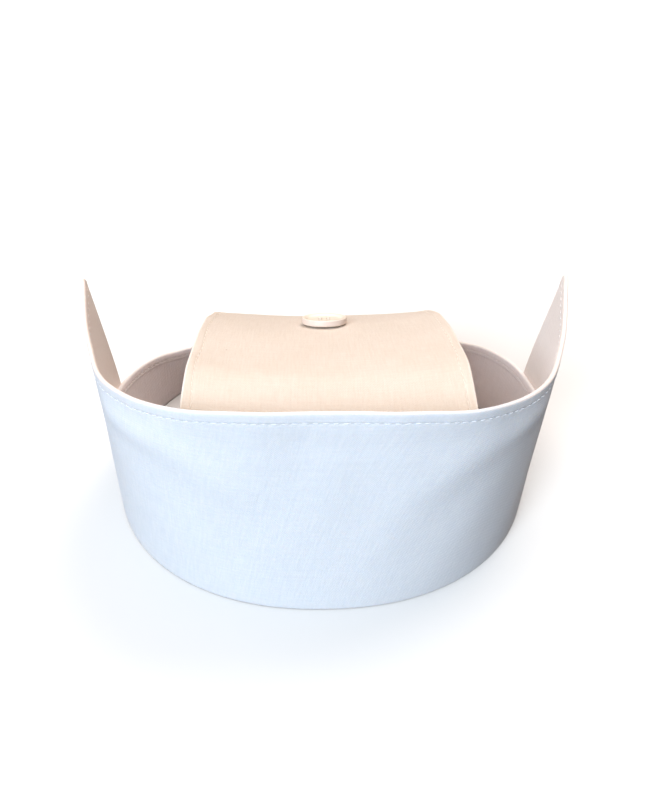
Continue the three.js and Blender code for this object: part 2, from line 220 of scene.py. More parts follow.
def smoothstep(low, high, x):
    t = np.clip((x - low) / (high - low), 0, 1)
    return t * t * (3 - 2 * t)


def lerp(a, b, t):
    return a + (b - a) * t


def foot_middle():
    """Where the widest place of the band's bottom edge lies in the frame, in millimetres."""
    points = np.array([v.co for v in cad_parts["band"].data.vertices]) / MM
    foot = points[points[:, 2] < 0.01]
    across = (foot[:, 0].min() + foot[:, 0].max()) / 2
    return np.array([across, foot[:, 1].max() - (BAND_DEPTH / 2 - BAND_WIDEST), 0])


FOOT_MIDDLE = foot_middle()


def half_depth(front):
    """From the widest place of the band to its front, or to its back."""
    return BAND_DEPTH / 2 + np.where(front, BAND_WIDEST, -BAND_WIDEST)


def oval_normal(x, y):
    """Direction straight out of the band's oval at one of its points."""
    power = BAND_SQUARENESS - 1
    depth = half_depth(y < 0)
    across = np.sign(x) * np.abs(x / (BAND_WIDTH / 2)) ** power / (BAND_WIDTH / 2)
    ahead = np.sign(y) * np.abs(y / depth) ** power / depth
    length = np.hypot(across, ahead)
    return across / length, ahead / length


def oval_point(angle, out):
    """Point of the band's oval at an angle, moved out from it."""
    side, ahead = np.sin(angle), np.cos(angle)
    power = BAND_SQUARENESS
    size = np.abs(side / (BAND_WIDTH / 2)) ** power + np.abs(ahead / half_depth(ahead > 0)) ** power
    radius = size ** (-1 / power)
    x, y = radius * side, -radius * ahead
    normal_x, normal_y = oval_normal(x, y)
    return x + out * normal_x, y + out * normal_y


def band_lean(angle, z):
    return BAND_LEAN * band_column["lean"](np.abs(angle) / math.pi) * z / BAND_FRONT_HEIGHT


def ripple(angle, z):
    """Slow unevenness that the cuff and the band behind it share."""
    waves = 0.5 * np.sin(9 * angle + 0.05 * z) + 0.3 * np.sin(17 * angle - 0.09 * z + 1)
    return RIPPLE * (waves + 0.3 * np.sin(5 * angle + 0.06 * z + 2)) * smoothstep(0, 30, z)


def swayed(x, y, z):
    """The point after the sway of the whole cap to its right side."""
    return np.stack([x + SWAY * z / BAND_FRONT_HEIGHT, y, z], -1)


def tip_corner(from_end, from_top, radius):
    """Distance to the nearer of two edges that meet in a rounded corner."""
    corner = radius - np.hypot(radius - from_end, radius - from_top)
    inside = (from_end < radius) & (from_top < radius)
    return np.where(inside, corner, np.minimum(from_end, from_top))


def hem_relief(from_edge, along, folded, hem=HEM):
    """How far a hemmed cloth stands out from its plain face: hem, groove of the stitches and puckers."""
    puff = HEM_PUFF * smoothstep(0.2, 1.8, from_edge) * (1 - smoothstep(hem - 0.9, hem, from_edge))
    line = (from_edge - hem) / GROOVE_WIDTH
    groove = -GROOVE * np.exp(-line * line)
    near = np.exp(-(((from_edge - hem) / PUCKER_WIDTH) ** 2))
    turn = 3 * math.pi * along / STITCH_PITCH
    waves = np.sin(turn / 2) + 0.7 * np.sin(turn / 3.3 + 2) + 0.5 * np.sin(turn / 7.7)
    pucker = PUCKER * near * waves
    layer = folded * HEM_LAYER * (1 - smoothstep(hem + HEM_FOLD, hem + HEM_FOLD + 0.4, from_edge))
    return puff + groove + pucker + layer


class Sheet:
    """A cloth piece: a middle surface at (u, v), with a rounded edge and relief on both its faces."""

    step = (1e-4, 1e-3)

    def normal(self, u, v):
        du, dv = self.step
        across = self.middle(u + du, v) - self.middle(u - du, v)
        up = self.middle(u, v + dv) - self.middle(u, v - dv)
        normal = np.cross(across, up)
        return normal / np.linalg.norm(normal, axis=-1, keepdims=True)

    def point(self, u, v, side):
        """Point on one face; side is 1 for the outer face and -1 for the inner face."""
        edge = np.clip(self.from_edge(u, v), 0, None)
        bare = np.clip(1 - edge / (CLOTH / 2), 0, 1)
        half = CLOTH / 2 * np.sqrt(1 - bare * bare) + self.relief(u, v, side) * smoothstep(0, 0.9, edge)
        return self.middle(u, v) + self.normal(u, v) * (side * half)[..., None]


class Cuff(Sheet):
    """u is the share of the reach, v the height in millimetres."""

    def reach(self, z):
        return np.radians(CUFF_REACH - WING_SET_FORWARD * z / WING_HEIGHT)

    def length(self, z=WING_HEIGHT):
        return self.reach(z) * BAND_WIDTH / 2

    def flat_top(self, u):
        """Height of the top edge, without the rounding of the tips."""
        at = np.abs(u)
        front = (CUFF_FRONT_HEIGHT - CUFF_SIDE_HEIGHT) * cuff_column["front"](at)
        wing = (WING_HEIGHT - CUFF_SIDE_HEIGHT) * cuff_column["wing"](at)
        dip = CUFF_RIGHT_DIP * np.sin(math.pi * np.clip(u, 0, 1)) ** 2
        return CUFF_SIDE_HEIGHT + front + wing - dip

    def from_end(self, u):
        return (1 - np.abs(u)) * self.length()

    def top(self, u):
        inside = np.clip(1 - self.from_end(u) / WING_TIP_RADIUS, 0, 1)
        return self.flat_top(u) - WING_TIP_RADIUS * (1 - np.sqrt(1 - inside * inside))

    def middle(self, u, v):
        angle = u * self.reach(v)
        curled = np.clip(v - WING_CURL_START, 0, None) / (WING_HEIGHT - WING_CURL_START)
        curl = WING_CURL * cuff_column["curl"](np.abs(u)) * curled**WING_CURL_POWER
        out = CUFF_GAP + CUFF_WALL / 2 + band_lean(angle, v) + curl + ripple(angle, v) + self.crease(u, v)
        x, y = oval_point(angle, out)
        return swayed(x, y, v)

    def crease(self, u, v):
        """The soft folds of its two upper corners, and the flare of its top edge at the middle."""
        at = np.abs(u)
        height = CREASE_LOW + CREASE_RISE * smoothstep(0.15, 0.4, at)
        shown = smoothstep(0.1, 0.32, at) * (1 - smoothstep(0.54, 0.66, at))
        flare = smoothstep(79, 91, v) * (1 - smoothstep(0.25, 0.42, at))
        sharp = smoothstep(0.3, 0.46, at)
        ridge = np.exp(-(((v - height) / lerp(CREASE_WIDTH, CREASE_WIDTH * 0.6, sharp)) ** 2))
        return CREASE * shown * (1 + 0.25 * sharp) * ridge + FLARE * flare

    def from_edge(self, u, v):
        upper = tip_corner(self.from_end(u), self.flat_top(u) - v, WING_TIP_RADIUS)
        return np.minimum(upper, v)

    def relief(self, u, v, side):
        along = u * self.length()
        return hem_relief(self.flat_top(u) - v, along, 1 if side < 0 else 0)


class Band(Sheet):
    """u is the angle from the front, v the height in millimetres."""

    def top(self, u):
        turned = (u + math.pi) % (2 * math.pi) - math.pi
        rim = band_column["rim"](np.abs(turned) / math.pi)
        return lerp(BAND_BACK_HEIGHT, BAND_FRONT_HEIGHT, rim) + BAND_RIM_TILT * np.sin(turned)

    def middle(self, u, v):
        turned = (u + math.pi) % (2 * math.pi) - math.pi
        flare = HEM_FLARE * (1 - smoothstep(0, BAND_HEM + 1, self.top(u) - v))
        out = -BAND_WALL / 2 + band_lean(turned, v) + ripple(turned, v) + flare
        x, y = oval_point(turned, out)
        return swayed(x, y, v)

    def from_edge(self, u, v):
        return np.minimum(self.top(u) - v, v)

    def relief(self, u, v, side):
        return hem_relief(self.top(u) - v, u * BAND_WIDTH / 2, 1 if side < 0 else 0, BAND_HEM)


def side_wobble(hand, v):
    """How far the stitches of the left (-1) or right (1) side edge wander from their line."""
    slow, quick = SIDE_WOBBLE
    return slow * np.sin(43 * v + 2 * hand) + quick * np.sin(97 * v)


class Flap(Sheet):
    """u goes from -1 at the left side edge to 1 at the right, v is the share of its length from the front."""

    step = (1e-3, 1e-3)

    def width(self, v):
        return lerp(FLAP_FRONT_WIDTH, FLAP_BACK_WIDTH, flap_column["taper"](v)) + 2 * FLAP_SPREAD

    def outer(self, u, v):
        v = np.clip(v, 0, 1)
        inset = BAND_WALL + FLAP_GAP
        along = flap_column["along"](v)
        front = along < 0
        x = u * self.width(v) / 2
        level = lerp(FLAP_FOOT, FLAP_HEIGHT, flap_column["up"](v))
        z = level - FLAP_SAG * flap_column["sag"](v) * (1 - u * u)
        clear = (half_depth(front) - inset) * along + FLAP_BOW * flap_column["bow"](v) * u * u
        return swayed(x, lerp(self.wall(x, z, inset, front), clear, flap_column["free"](v)), z)

    def wall(self, x, z, inset, front):
        """How far back the inside of the band lies at (x, z), less the inset."""
        across = np.clip(np.abs(x) / (BAND_WIDTH / 2 - inset), 0, 1)
        depth = (half_depth(front) - inset) * (1 - across**BAND_SQUARENESS) ** (1 / BAND_SQUARENESS)
        y = np.where(front, -depth, depth)
        lean = band_lean(np.arctan2(x, -y), z) / np.abs(oval_normal(x, y)[1])
        return np.where(front, -1, 1) * (depth + lean)

    def outer_normal(self, u, v):
        du, dv = self.step
        low, high = np.clip(v - dv, 0, 1), np.clip(v + dv, 0, 1)
        across = self.outer(u + du, v) - self.outer(u - du, v)
        normal = np.cross(across, self.outer(u, high) - self.outer(u, low))
        return normal / np.linalg.norm(normal, axis=-1, keepdims=True)

    def unevenness(self, u, v):
        """Slow waves of the part that is clear of the band, stronger at the side edges."""
        clear = smoothstep(0.27, 0.33, v) * (1 - smoothstep(0.85, 0.92, v))
        waves = 0.5 * np.sin(30 * v + 2 * u) + 0.4 * np.sin(47 * v - 4 * u + 1)
        waves = waves + 0.3 * np.sin(7 * u + 9 * v)
        edge = smoothstep(0.7, 1, np.abs(u)) * np.sin(61 * v + 3 * u)
        return RIPPLE * clear * (waves + 0.3 * edge)

    def middle(self, u, v):
        depth = -FLAP_THICKNESS / 2 + self.unevenness(u, v)
        return self.outer(u, v) + self.outer_normal(u, v) * depth[..., None]

    def normal(self, u, v):
        return self.outer_normal(u, v)

    def from_side(self, u, v):
        """Distance from the nearer side edge, bent to follow the stitches."""
        bare = 1 - np.abs(u)
        return bare * self.width(v) / 2 + side_wobble(np.sign(u), v) * smoothstep(0, 0.04, bare)

    def from_edge(self, u, v):
        ends = np.minimum(v, 1 - v) * FLAP_LENGTH
        return np.minimum((1 - np.abs(u)) * self.width(v) / 2, ends)

    def relief(self, u, v, side):
        return hem_relief(self.from_side(u, v), v * FLAP_LENGTH, 1 if side < 0 else 0, FLAP_HEM)


# Distances of the mesh lines from an edge: round the edge itself, at a hem and at the wings' ends
EDGE_SPACING = [0, 0.03, 0.12, 0.27, 0.47, 0.72, 1.0]
HEM_SPACING = [1.5, 2.1, 2.6, 3.0, 3.3, 3.5, 3.7, 3.9, 4.1, 4.3, 4.5, 4.7, 4.9, 5.1, 5.4, 5.7, 6.0, 6.5, 7.5]
END_SPACING = [1.4, 1.9, 2.5, 3.2, 4.0, 5.0]
WALL_SPACING = 2.0  # between the rows of a wall
CUFF_SPACING = 1.0  # between its columns
CUFF_UV_HEIGHT = 50.0  # where its length is taken for the UV
FLAP_SPACING = (1.6, 1.15)  # across it and along it
BAND_COLUMNS = 560
UV_PER_MM = 0.1


def even_steps(start, end, spacing):
    """Steps between two places without the places themselves."""
    count = max(int(round(abs(end - start) / spacing)), 2)
    return np.linspace(start, end, count + 1)[1:-1]


def height_rows(sheet, columns):
    """Heights of a wall's rows at each column: close together at the foot, at the hem and at the top edge."""
    low = np.array(EDGE_SPACING)
    high = np.array((EDGE_SPACING + HEM_SPACING)[::-1])
    top = sheet.top(columns)[:, None]
    middle = even_steps(0, 1, WALL_SPACING / np.mean(top))
    body = low[-1] + middle * (top - high[0] - low[-1])
    return np.hstack([np.broadcast_to(low, (len(columns), len(low))), body, top - high])


def cloth_mesh(name, sheet, u, v, closed, lengths):
    """A closed mesh with an outer and an inner face over the grid u, v, with its cloth lengths as UV."""
    columns, rows = u.shape
    outer = sheet.point(u, v, 1)
    inner = sheet.point(u, v, -1)
    points = (np.concatenate([outer.reshape(-1, 3), inner.reshape(-1, 3)]) + FOOT_MIDDLE) * MM
    count = columns if closed else columns - 1
    i, j = np.meshgrid(np.arange(count), np.arange(rows - 1), indexing="ij")
    i, j = i.ravel(), j.ravel()
    after = (i + 1) % columns
    quads = np.stack([i * rows + j, after * rows + j, after * rows + j + 1, i * rows + j + 1], 1)
    faces = np.concatenate([quads, quads[:, ::-1] + columns * rows])
    along, up = lengths
    corner = np.stack([(i, j), (i + 1, j), (i + 1, j + 1), (i, j + 1)]).transpose(2, 0, 1)
    flat = np.stack([along[corner[..., 0]], up[corner[..., 0] % columns, corner[..., 1]]], -1)
    uv = np.concatenate([flat, flat[:, ::-1]])
    mesh = bpy.data.meshes.new(name)
    mesh.from_pydata(points.tolist(), [], faces.tolist())
    layer = mesh.uv_layers.new(name="cloth")
    layer.data.foreach_set("uv", (uv * UV_PER_MM).astype(np.float32).ravel())
    edge = sheet.from_edge(u, v)
    # the faces at the rim take the piece's second material on both faces, so the cuff's rim carries the painted
    # warm light of its inside
    near_edge = (edge[i, j] + edge[after, j + 1]) / 2 < CLOTH * 0.4
    index = np.concatenate([np.where(near_edge, 1, 0), np.ones(len(quads), int)])
    mesh.polygons.foreach_set("material_index", index.astype(np.int32))
    store = mesh.attributes.new("from_edge", "FLOAT", "POINT")
    store.data.foreach_set("value", np.tile(edge.ravel(), 2).astype(np.float32))
    weld(mesh)
    mesh.shade_smooth()
    return add_piece(name, mesh)


def weld(mesh):
    """Joins the two faces of a cloth piece along its edge."""
    work = bmesh.new()
    work.from_mesh(mesh)
    bmesh.ops.remove_doubles(work, verts=work.verts, dist=2e-6)
    bmesh.ops.dissolve_degenerate(work, edges=work.edges, dist=1e-7)
    work.to_mesh(mesh)
    work.free()


def add_piece(name, mesh):
    piece = bpy.data.objects.new(name, mesh)
    bpy.context.scene.collection.objects.link(piece)
    return piece


def stitches(name, start, end, up, radius, rise):
    """Short threads from start to end, each a low arch over the cloth, in one mesh."""
    rings, sides = 7, 6
    share = np.linspace(0, 1, rings)
    turn = 2 * math.pi * np.arange(sides) / sides
    run = end - start
    aside = np.cross(run, up)
    aside = aside / np.linalg.norm(aside, axis=-1, keepdims=True)
    arch = rise * np.sin(math.pi * share) - radius * 0.6
    thick = radius * (0.35 + 0.65 * np.sin(math.pi * share) ** 0.5)
    centre = start[:, None] + run[:, None] * share[:, None] + up[:, None] * arch[:, None]
    ring = aside[:, None] * np.cos(turn)[:, None] + up[:, None] * np.sin(turn)[:, None]
    points = centre[:, :, None] + ring[:, None] * thick[None, :, None, None]
    count = len(start)
    index = np.arange(count * rings * sides).reshape(count, rings, sides)
    here, aft = index[:, :-1], index[:, 1:]
    quads = np.stack([here, np.roll(here, -1, 2), np.roll(aft, -1, 2), aft], -1).reshape(-1, 4)
    caps = np.concatenate([index[:, 0, ::-1], index[:, -1]])
    mesh = bpy.data.meshes.new(name)
    places = (points.reshape(-1, 3) + FOOT_MIDDLE) * MM
    mesh.from_pydata(places.tolist(), [], quads.tolist() + caps.tolist())
    mesh.shade_smooth()
    return add_piece(name, mesh)


def seam(name, sheet, path, side, seed, radius=THREAD_RADIUS):
    """Stitches along a path of (u, v) on one face of a cloth piece."""
    fine = np.linspace(0, 1, 4000)
    u, v = path(fine)
    line = sheet.point(u, v, side)
    run = np.append(0, np.cumsum(np.linalg.norm(np.diff(line, axis=0), axis=1)))
    count = int(run[-1] / STITCH_PITCH)
    rng = np.random.default_rng(seed)
    start = (np.arange(count) + 0.5 + rng.uniform(-STITCH_SHIFT, STITCH_SHIFT, count)) * run[-1] / count
    length = STITCH_LENGTH * rng.uniform(*STITCH_LENGTH_RANGE, count)
    first = np.interp(start - length / 2, run, fine)
    last = np.interp(start + length / 2, run, fine)
    middle = np.interp(start, run, fine)
    u, v = path(middle)
    up = sheet.normal(u, v) * side
    ends = [sheet.point(*path(share), side) for share in (first, last)]
    sideways = np.cross(ends[1] - ends[0], up)
    sideways *= rng.normal(0, STITCH_SLANT, count)[:, None]
    rise = THREAD_RISE * radius / THREAD_RADIUS
    return stitches(name, ends[0] - sideways, ends[1] + sideways, up, radius, rise)


# Materials


class Nodes:
    """Short forms for building a material's nodes."""

    def __init__(self, name):
        self.material = bpy.data.materials.new(name)
        self.material.use_nodes = True
        self.tree = self.material.node_tree
        self.shader = self.tree.nodes["Principled BSDF"]

    def add(self, kind, inputs=None, **settings):
        node = self.tree.nodes.new(kind)
        for key, value in settings.items():
            setattr(node, key, value)
        for key, value in (inputs or {}).items():
            self.put(node.inputs[key], value)
        return node

    def put(self, socket, value):
        if isinstance(value, bpy.types.NodeSocket):
            self.tree.links.new(value, socket)
        else:
            socket.default_value = value

    def shade(self, values):
        """Sets constant values on the shader's sockets."""
        for key, value in values.items():
            self.shader.inputs[key].default_value = value

    def bump(self, height, strength, distance):
        inputs = {"Height": height, "Strength": strength, "Distance": distance}
        self.put(self.shader.inputs["Normal"], self.add("ShaderNodeBump", inputs).outputs[0])

    def math(self, operation, a, b=0.0, c=0.0):
        return self.add("ShaderNodeMath", {0: a, 1: b, 2: c}, operation=operation).outputs[0]

    def scaled(self, vector, scale):
        return self.add("ShaderNodeVectorMath", {0: vector, 1: scale}, operation="MULTIPLY").outputs[0]

    def noise(self, vector, scale, detail=2.0, roughness=0.5):
        inputs = {"Vector": vector, "Scale": scale, "Detail": detail, "Roughness": roughness}
        return self.add("ShaderNodeTexNoise", inputs).outputs["Fac"]

    def mix(self, share, a, b):
        node = self.add("ShaderNodeMix", data_type="RGBA")
        for key, value in ((0, share), (6, a), (7, b)):
            self.put(node.inputs[key], value)
        return node.outputs[2]

    def between(self, value, low, high, start=0.0, end=1.0):
        inputs = {"Value": value, "From Min": low, "From Max": high, "To Min": start, "To Max": end}
        return self.add("ShaderNodeMapRange", inputs).outputs[0]


THREAD_PITCH = 0.45  # of the weave


def cloth_material(
    name, colours, edge, hem=0.0, speck=None, front=None, front_rim_painted_light=None, slant=0.0, sheen=0.12
):
    """Plain weave of uneven threads: weave and slubs in the bump, slubs and soft patches in the colour.

    Places on the cloth come from its UV. edge is the colour of the painted light on its rim, hem the share of
    that painted rim light down to the stitches, speck the place of a small spot, front and
    front_rim_painted_light the colours of the middle part, painted cool light, which turns into the painted
    light of the sides' own colours, and slant leans the upright threads at the ends.
    """
    light, dark, slub = colours
    n = Nodes(name)
    uv = n.add("ShaderNodeUVMap", uv_map="cloth").outputs[0]
    place = n.scaled(uv, (1 / UV_PER_MM,) * 3)
    split = n.add("ShaderNodeSeparateXYZ", {0: place})
    across, up = split.outputs[0], split.outputs[1]
    turn = math.pi / THREAD_PITCH
    wander = n.math("MULTIPLY", n.noise(place, 0.5), 2.4)
    warp = n.math("SINE", n.math("MULTIPLY_ADD", across, turn, wander))
    weft = n.math("SINE", n.math("MULTIPLY_ADD", up, turn, wander))
    weave = n.math("MULTIPLY", warp, weft)
    lean = n.math("MULTIPLY", n.between(across, -60.0, 60.0, 0.0, -slant), up)
    grain = n.add("ShaderNodeCombineXYZ", {0: n.math("ADD", across, lean), 1: up})
    upright = n.noise(n.scaled(grain.outputs[0], (1.1, 0.1, 1.0)), 1.0, 3.0, 0.6)
    level = n.noise(n.scaled(place, (0.06, 1.1, 1.0)), 1.0, 3.0, 0.6)
    fibre = n.noise(place, 1.15, 3.0, 0.7)
    patches = n.noise(place, 0.035)
    base = n.mix(n.between(patches, 0.35, 0.65), light, dark)
    # painted light: the middle of the cuff takes the painted cool light, and towards its sides the colours turn
    # to the sides' own painted light
    if front_rim_painted_light:
        to_side = n.between(n.math("ABSOLUTE", across), 55.0, 85.0)
        base = n.mix(to_side, front, base)
        edge = n.mix(to_side, front_rim_painted_light, edge)
    slubs = n.math("ADD", n.math("MULTIPLY", upright, 0.62), n.math("MULTIPLY", level, 0.38))
    threads = n.math("MULTIPLY_ADD", fibre, 0.45, n.math("MULTIPLY_ADD", weave, 0.04, slubs))
    colour = n.mix(n.between(threads, 0.56, 0.9, 0.42, 0.0), base, slub)
    from_edge = n.add("ShaderNodeAttribute", attribute_name="from_edge").outputs["Fac"]
    # painted light: the hem down to the stitches takes a share of the rim's painted light colour
    if hem:
        colour = n.mix(n.between(from_edge, HEM - 0.6, HEM + 2.0, hem, 0.0), colour, edge)
    # painted light on the rim: the cloth within about a millimetre of each edge takes up to 0.6 of the rim's
    # colour
    colour = n.mix(n.between(from_edge, 0.3, 1.1, 0.6, 0.0), colour, edge)
    if speck:
        spot = n.add("ShaderNodeVectorMath", {0: place, 1: (*speck, 0)}, operation="DISTANCE")
        share = n.between(spot.outputs["Value"], 0.2, 0.5, 0.6, 0.0)
        colour = n.mix(share, colour, SPECK_COLOUR)
    n.put(n.shader.inputs["Base Color"], colour)
    n.shade(
        {
            "Roughness": 0.88,
            "Subsurface Weight": 0.4,
            "Subsurface Scale": 1.5 * MM,
            "Subsurface Radius": (1.0, 0.85, 0.75),
            "Sheen Weight": sheen,
            "Sheen Tint": (1.0, 0.88, 0.82, 1),
            "Sheen Roughness": 0.45,
            "Specular IOR Level": 0.3,
        }
    )
    height = n.math("ADD", n.math("MULTIPLY_ADD", weave, 0.16, slubs), n.math("MULTIPLY", fibre, 0.35))
    n.bump(height, 0.6, 0.25 * MM)
    return n.material


def thread_material(name, light, dark):
    """Twisted sewing thread."""
    n = Nodes(name)
    place = n.add("ShaderNodeTexCoord").outputs["Object"]
    twist = n.noise(place, 2600.0, 2.0)
    n.put(n.shader.inputs["Base Color"], n.mix(n.between(twist, 0.3, 0.7), light, dark))
    n.shade({"Roughness": 0.6, "Sheen Weight": 0.2})
    n.bump(twist, 0.4, 0.08 * MM)
    return n.material


def plastic_material(name, light, dark):
    """Off-white moulded plastic with faint clouds and fine scratches."""
    n = Nodes(name)
    place = n.add("ShaderNodeTexCoord").outputs["Object"]
    clouds = n.noise(place, 160.0, 3.0)
    colour = n.mix(n.between(clouds, 0.3, 0.7), light, dark)
    n.put(n.shader.inputs["Base Color"], colour)
    fine = n.noise(n.scaled(place, (900.0, 5200.0, 2400.0)), 1.0, 2.0)
    n.put(n.shader.inputs["Roughness"], n.between(fine, 0.2, 0.8, 0.34, 0.5))
    n.shade({"Specular IOR Level": 0.45})
    n.bump(fine, 0.12, 0.05 * MM)
    return n.material


def floor_material():
    """Pale floor, which gives the cap less light than its look says, so that the cap's shaded side stays grey.

    It gives more light within the ring of the cap, whose inside the photo shows pale.
    """
    n = Nodes("pale_floor")
    place = n.add("ShaderNodeTexCoord").outputs["Object"]
    grain = n.noise(place, 9.0, 4.0)
    seen = n.mix(n.between(grain, 0.3, 0.7), *FLOOR_LOOK)
    direct = n.add("ShaderNodeLightPath").outputs["Is Camera Ray"]
    from_middle = n.add("ShaderNodeVectorMath", {0: place}, operation="LENGTH").outputs["Value"]
    unseen = n.mix(n.between(from_middle, 0.07, 0.1), *FLOOR_LIGHT)
    n.put(n.shader.inputs["Base Color"], n.mix(direct, unseen, seen))
    n.shade({"Roughness": 0.9})
    return n.material


# Colours of the cloth: light and dark patches, and the slubs of its threads. Every piece is the same white
# cotton, and its tints are painted light: painted cool light on the cuff's outside, painted warm light on its
# inside, painted warm light darkened to cream on the flap, and a pink tint of painted shade on the band
COOL_PAINTED_LIGHT = ((0.84, 0.885, 0.95, 1), (0.825, 0.87, 0.94, 1), (0.65, 0.71, 0.8, 1))
WARM_PAINTED_LIGHT = ((0.98, 0.88, 0.82, 1), (0.96, 0.86, 0.8, 1), (0.8, 0.69, 0.63, 1))
CREAM_PAINTED_WARM_LIGHT = ((0.72, 0.64, 0.56, 1), (0.7, 0.62, 0.535, 1), (0.58, 0.47, 0.385, 1))
PINK_PAINTED_SHADE = ((0.99, 0.91, 0.92, 1), (0.97, 0.89, 0.9, 1), (0.8, 0.71, 0.71, 1))

# Colours of its edges, painted light on the rims: painted warm light on the cuff's rims, painted cool light
# dimmed on its front rim, and a painted highlight on the rims of the band and the flap
FRONT_RIM_PAINTED_COOL_LIGHT = (0.77, 0.8, 0.84, 1)
CUFF_RIM_PAINTED_WARM_LIGHT = (0.83, 0.73, 0.685, 1)
RIM_PAINTED_HIGHLIGHT = (0.98, 0.93, 0.89, 1)

INNER_SHEEN = 0.6
SPECK_PLACE = (-41.0, 127.0)  # across and along the flap's cloth
SPECK_COLOUR = (0.3, 0.2, 0.13, 1)
BUTTON_TOP = ((0.9, 0.82, 0.71, 1), (0.86, 0.77, 0.65, 1))
# the side of the button is the same plastic as its top, painted darker and pinker as painted shade
BUTTON_SIDE_PAINTED_SHADE = ((0.74, 0.63, 0.56, 1), (0.7, 0.59, 0.52, 1))
FLOOR_LOOK = ((0.8, 0.82, 0.825, 1), (0.79, 0.81, 0.815, 1))
FLOOR_LIGHT = ((0.5, 0.46, 0.45, 1), (0.1, 0.098, 0.1, 1))  # within the ring of the cap, and outside it


# Pieces


def dress(piece, slot, *materials):
    """Gives a piece its materials and its body; its slot is not used."""
    for material in materials:
        piece.data.materials.append(material)
    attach(piece, "root")
    return piece


def make_cuff():
    sheet = Cuff()
    near = 1 - np.array(EDGE_SPACING + END_SPACING) / sheet.length()
    inner = even_steps(-near[-1], near[-1], CUFF_SPACING / sheet.length())
    shares = np.concatenate([-near, inner, near[::-1]])
    heights = height_rows(sheet, shares)
    u = np.broadcast_to(shares[:, None], heights.shape)
    lengths = (shares * sheet.length(CUFF_UV_HEIGHT), heights)
    cuff = cloth_mesh("cuff_cloth", sheet, u, heights, False, lengths)
    dress(cuff, "cotton_cuff", CLOTHS["cuff_outside"], CLOTHS["cuff_inside"])
    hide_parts("cuff")

    def path(share):
        place = (2 * share - 1) * (1 - CUFF_SEAM_END / sheet.length())
        return place, sheet.flat_top(place) - HEM

    for side, word in ((1, "outside"), (-1, "inside")):
        line = seam(f"cuff_stitches_{word}", sheet, path, side, 3 + side, CUFF_THREAD_RADIUS)
        dress(line, "cotton_cuff", THREADS[word])


def make_band():
    sheet = Band()
    angles = -math.pi + 2 * math.pi * np.arange(BAND_COLUMNS) / BAND_COLUMNS
    heights = height_rows(sheet, angles)
    u = np.broadcast_to(angles[:, None], heights.shape)
    lengths = (np.append(angles, math.pi) * BAND_WIDTH / 2, heights)
    band = cloth_mesh("band_cloth", sheet, u, heights, True, lengths)
    dress(band, "cotton_band", CLOTHS["band_outside"], CLOTHS["band_inside"])
    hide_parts("band")

    def path(share):
        angle = (2 * share - 1) * math.pi
        return angle, sheet.top(angle) - BAND_HEM

    for side, word in ((1, "outside"), (-1, "inside")):
        line = seam(f"band_stitches_{word}", sheet, path, side, seed=7 + side)
        dress(line, "cotton_band", THREADS["inside"])


def make_flap():
    sheet = Flap()
    half = FLAP_FRONT_WIDTH / 2 + FLAP_SPREAD
    across, along = FLAP_SPACING
    hem = [d - HEM + FLAP_HEM for d in HEM_SPACING if d > 2]
    near = 1 - np.array(EDGE_SPACING + hem) / half
    shares = np.concatenate([-near, even_steps(-near[-1], near[-1], across / half), near[::-1]])
    ends = np.array(EDGE_SPACING) / FLAP_LENGTH
    inner = even_steps(ends[-1], 1 - ends[-1], along / FLAP_LENGTH)
    steps = np.concatenate([ends, inner, 1 - ends[::-1]])
    u, v = np.meshgrid(shares, steps, indexing="ij")
    lengths = (shares * half, v * FLAP_LENGTH)
    flap = cloth_mesh("crown_flap_cloth", sheet, u, v, False, lengths)
    dress(flap, "cotton_flap", CLOTHS["flap"], CLOTHS["flap"])
    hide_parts("crown_flap")
    for hand, side_word in ((-1, "left"), (1, "right")):

        def path(share):
            place = FLAP_SEAM_END + (1 - 2 * FLAP_SEAM_END) * share
            inset = FLAP_HEM - side_wobble(hand, place)
            return hand * (1 - inset / (sheet.width(place) / 2)), place

        for side, word in ((1, "upper"), (-1, "lower")):
            line = seam(f"flap_stitches_{side_word}_{word}", sheet, path, side, seed=11 + side + hand * 2)
            dress(line, "cotton_flap", THREADS["flap"])


def button_place():
    """Middle of the button's underside and its axes, in metres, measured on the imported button."""
    points = np.array([v.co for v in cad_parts["button"].data.vertices])
    middle = points.mean(0)
    axes = np.linalg.svd(points - middle, full_matrices=False)[2]
    up = axes[2] * np.sign(axes[2][2])
    right = np.cross((0, 1, 0), up)
    right /= np.linalg.norm(right)
    back = np.cross(up, right)
    turned = (points - middle) @ np.stack([right, back, up], 1)
    centre = (turned.min(0) + turned.max(0)) / 2
    centre[2] = turned[:, 2].min()
    place = middle + np.stack([right, back, up], 1) @ centre
    return place, np.stack([right, back, up], 1)


def turned_profile(name, profile, sides):
    """A closed solid turned round +Z from (radius, height) points in millimetres, on the axis at both ends."""
    turn = 2 * math.pi * np.arange(sides) / sides
    points = [(0, 0, profile[0][1])]
    for radius, height in profile[1:-1]:
        points += [(radius * math.cos(a), radius * math.sin(a), height) for a in turn]
    points.append((0, 0, profile[-1][1]))
    faces = [(0, 1 + (i + 1) % sides, 1 + i) for i in range(sides)]
    for ring in range(len(profile) - 3):
        here = 1 + ring * sides
        for i in range(sides):
            k = (i + 1) % sides
            faces.append((here + i, here + k, here + sides + k, here + sides + i))
    last = len(points) - 1
    faces += [(last, last - sides + i, last - sides + (i + 1) % sides) for i in range(sides)]
    mesh = bpy.data.meshes.new(name)
    mesh.from_pydata([[c * MM for c in p] for p in points], [], faces)
    mesh.update()
    return mesh


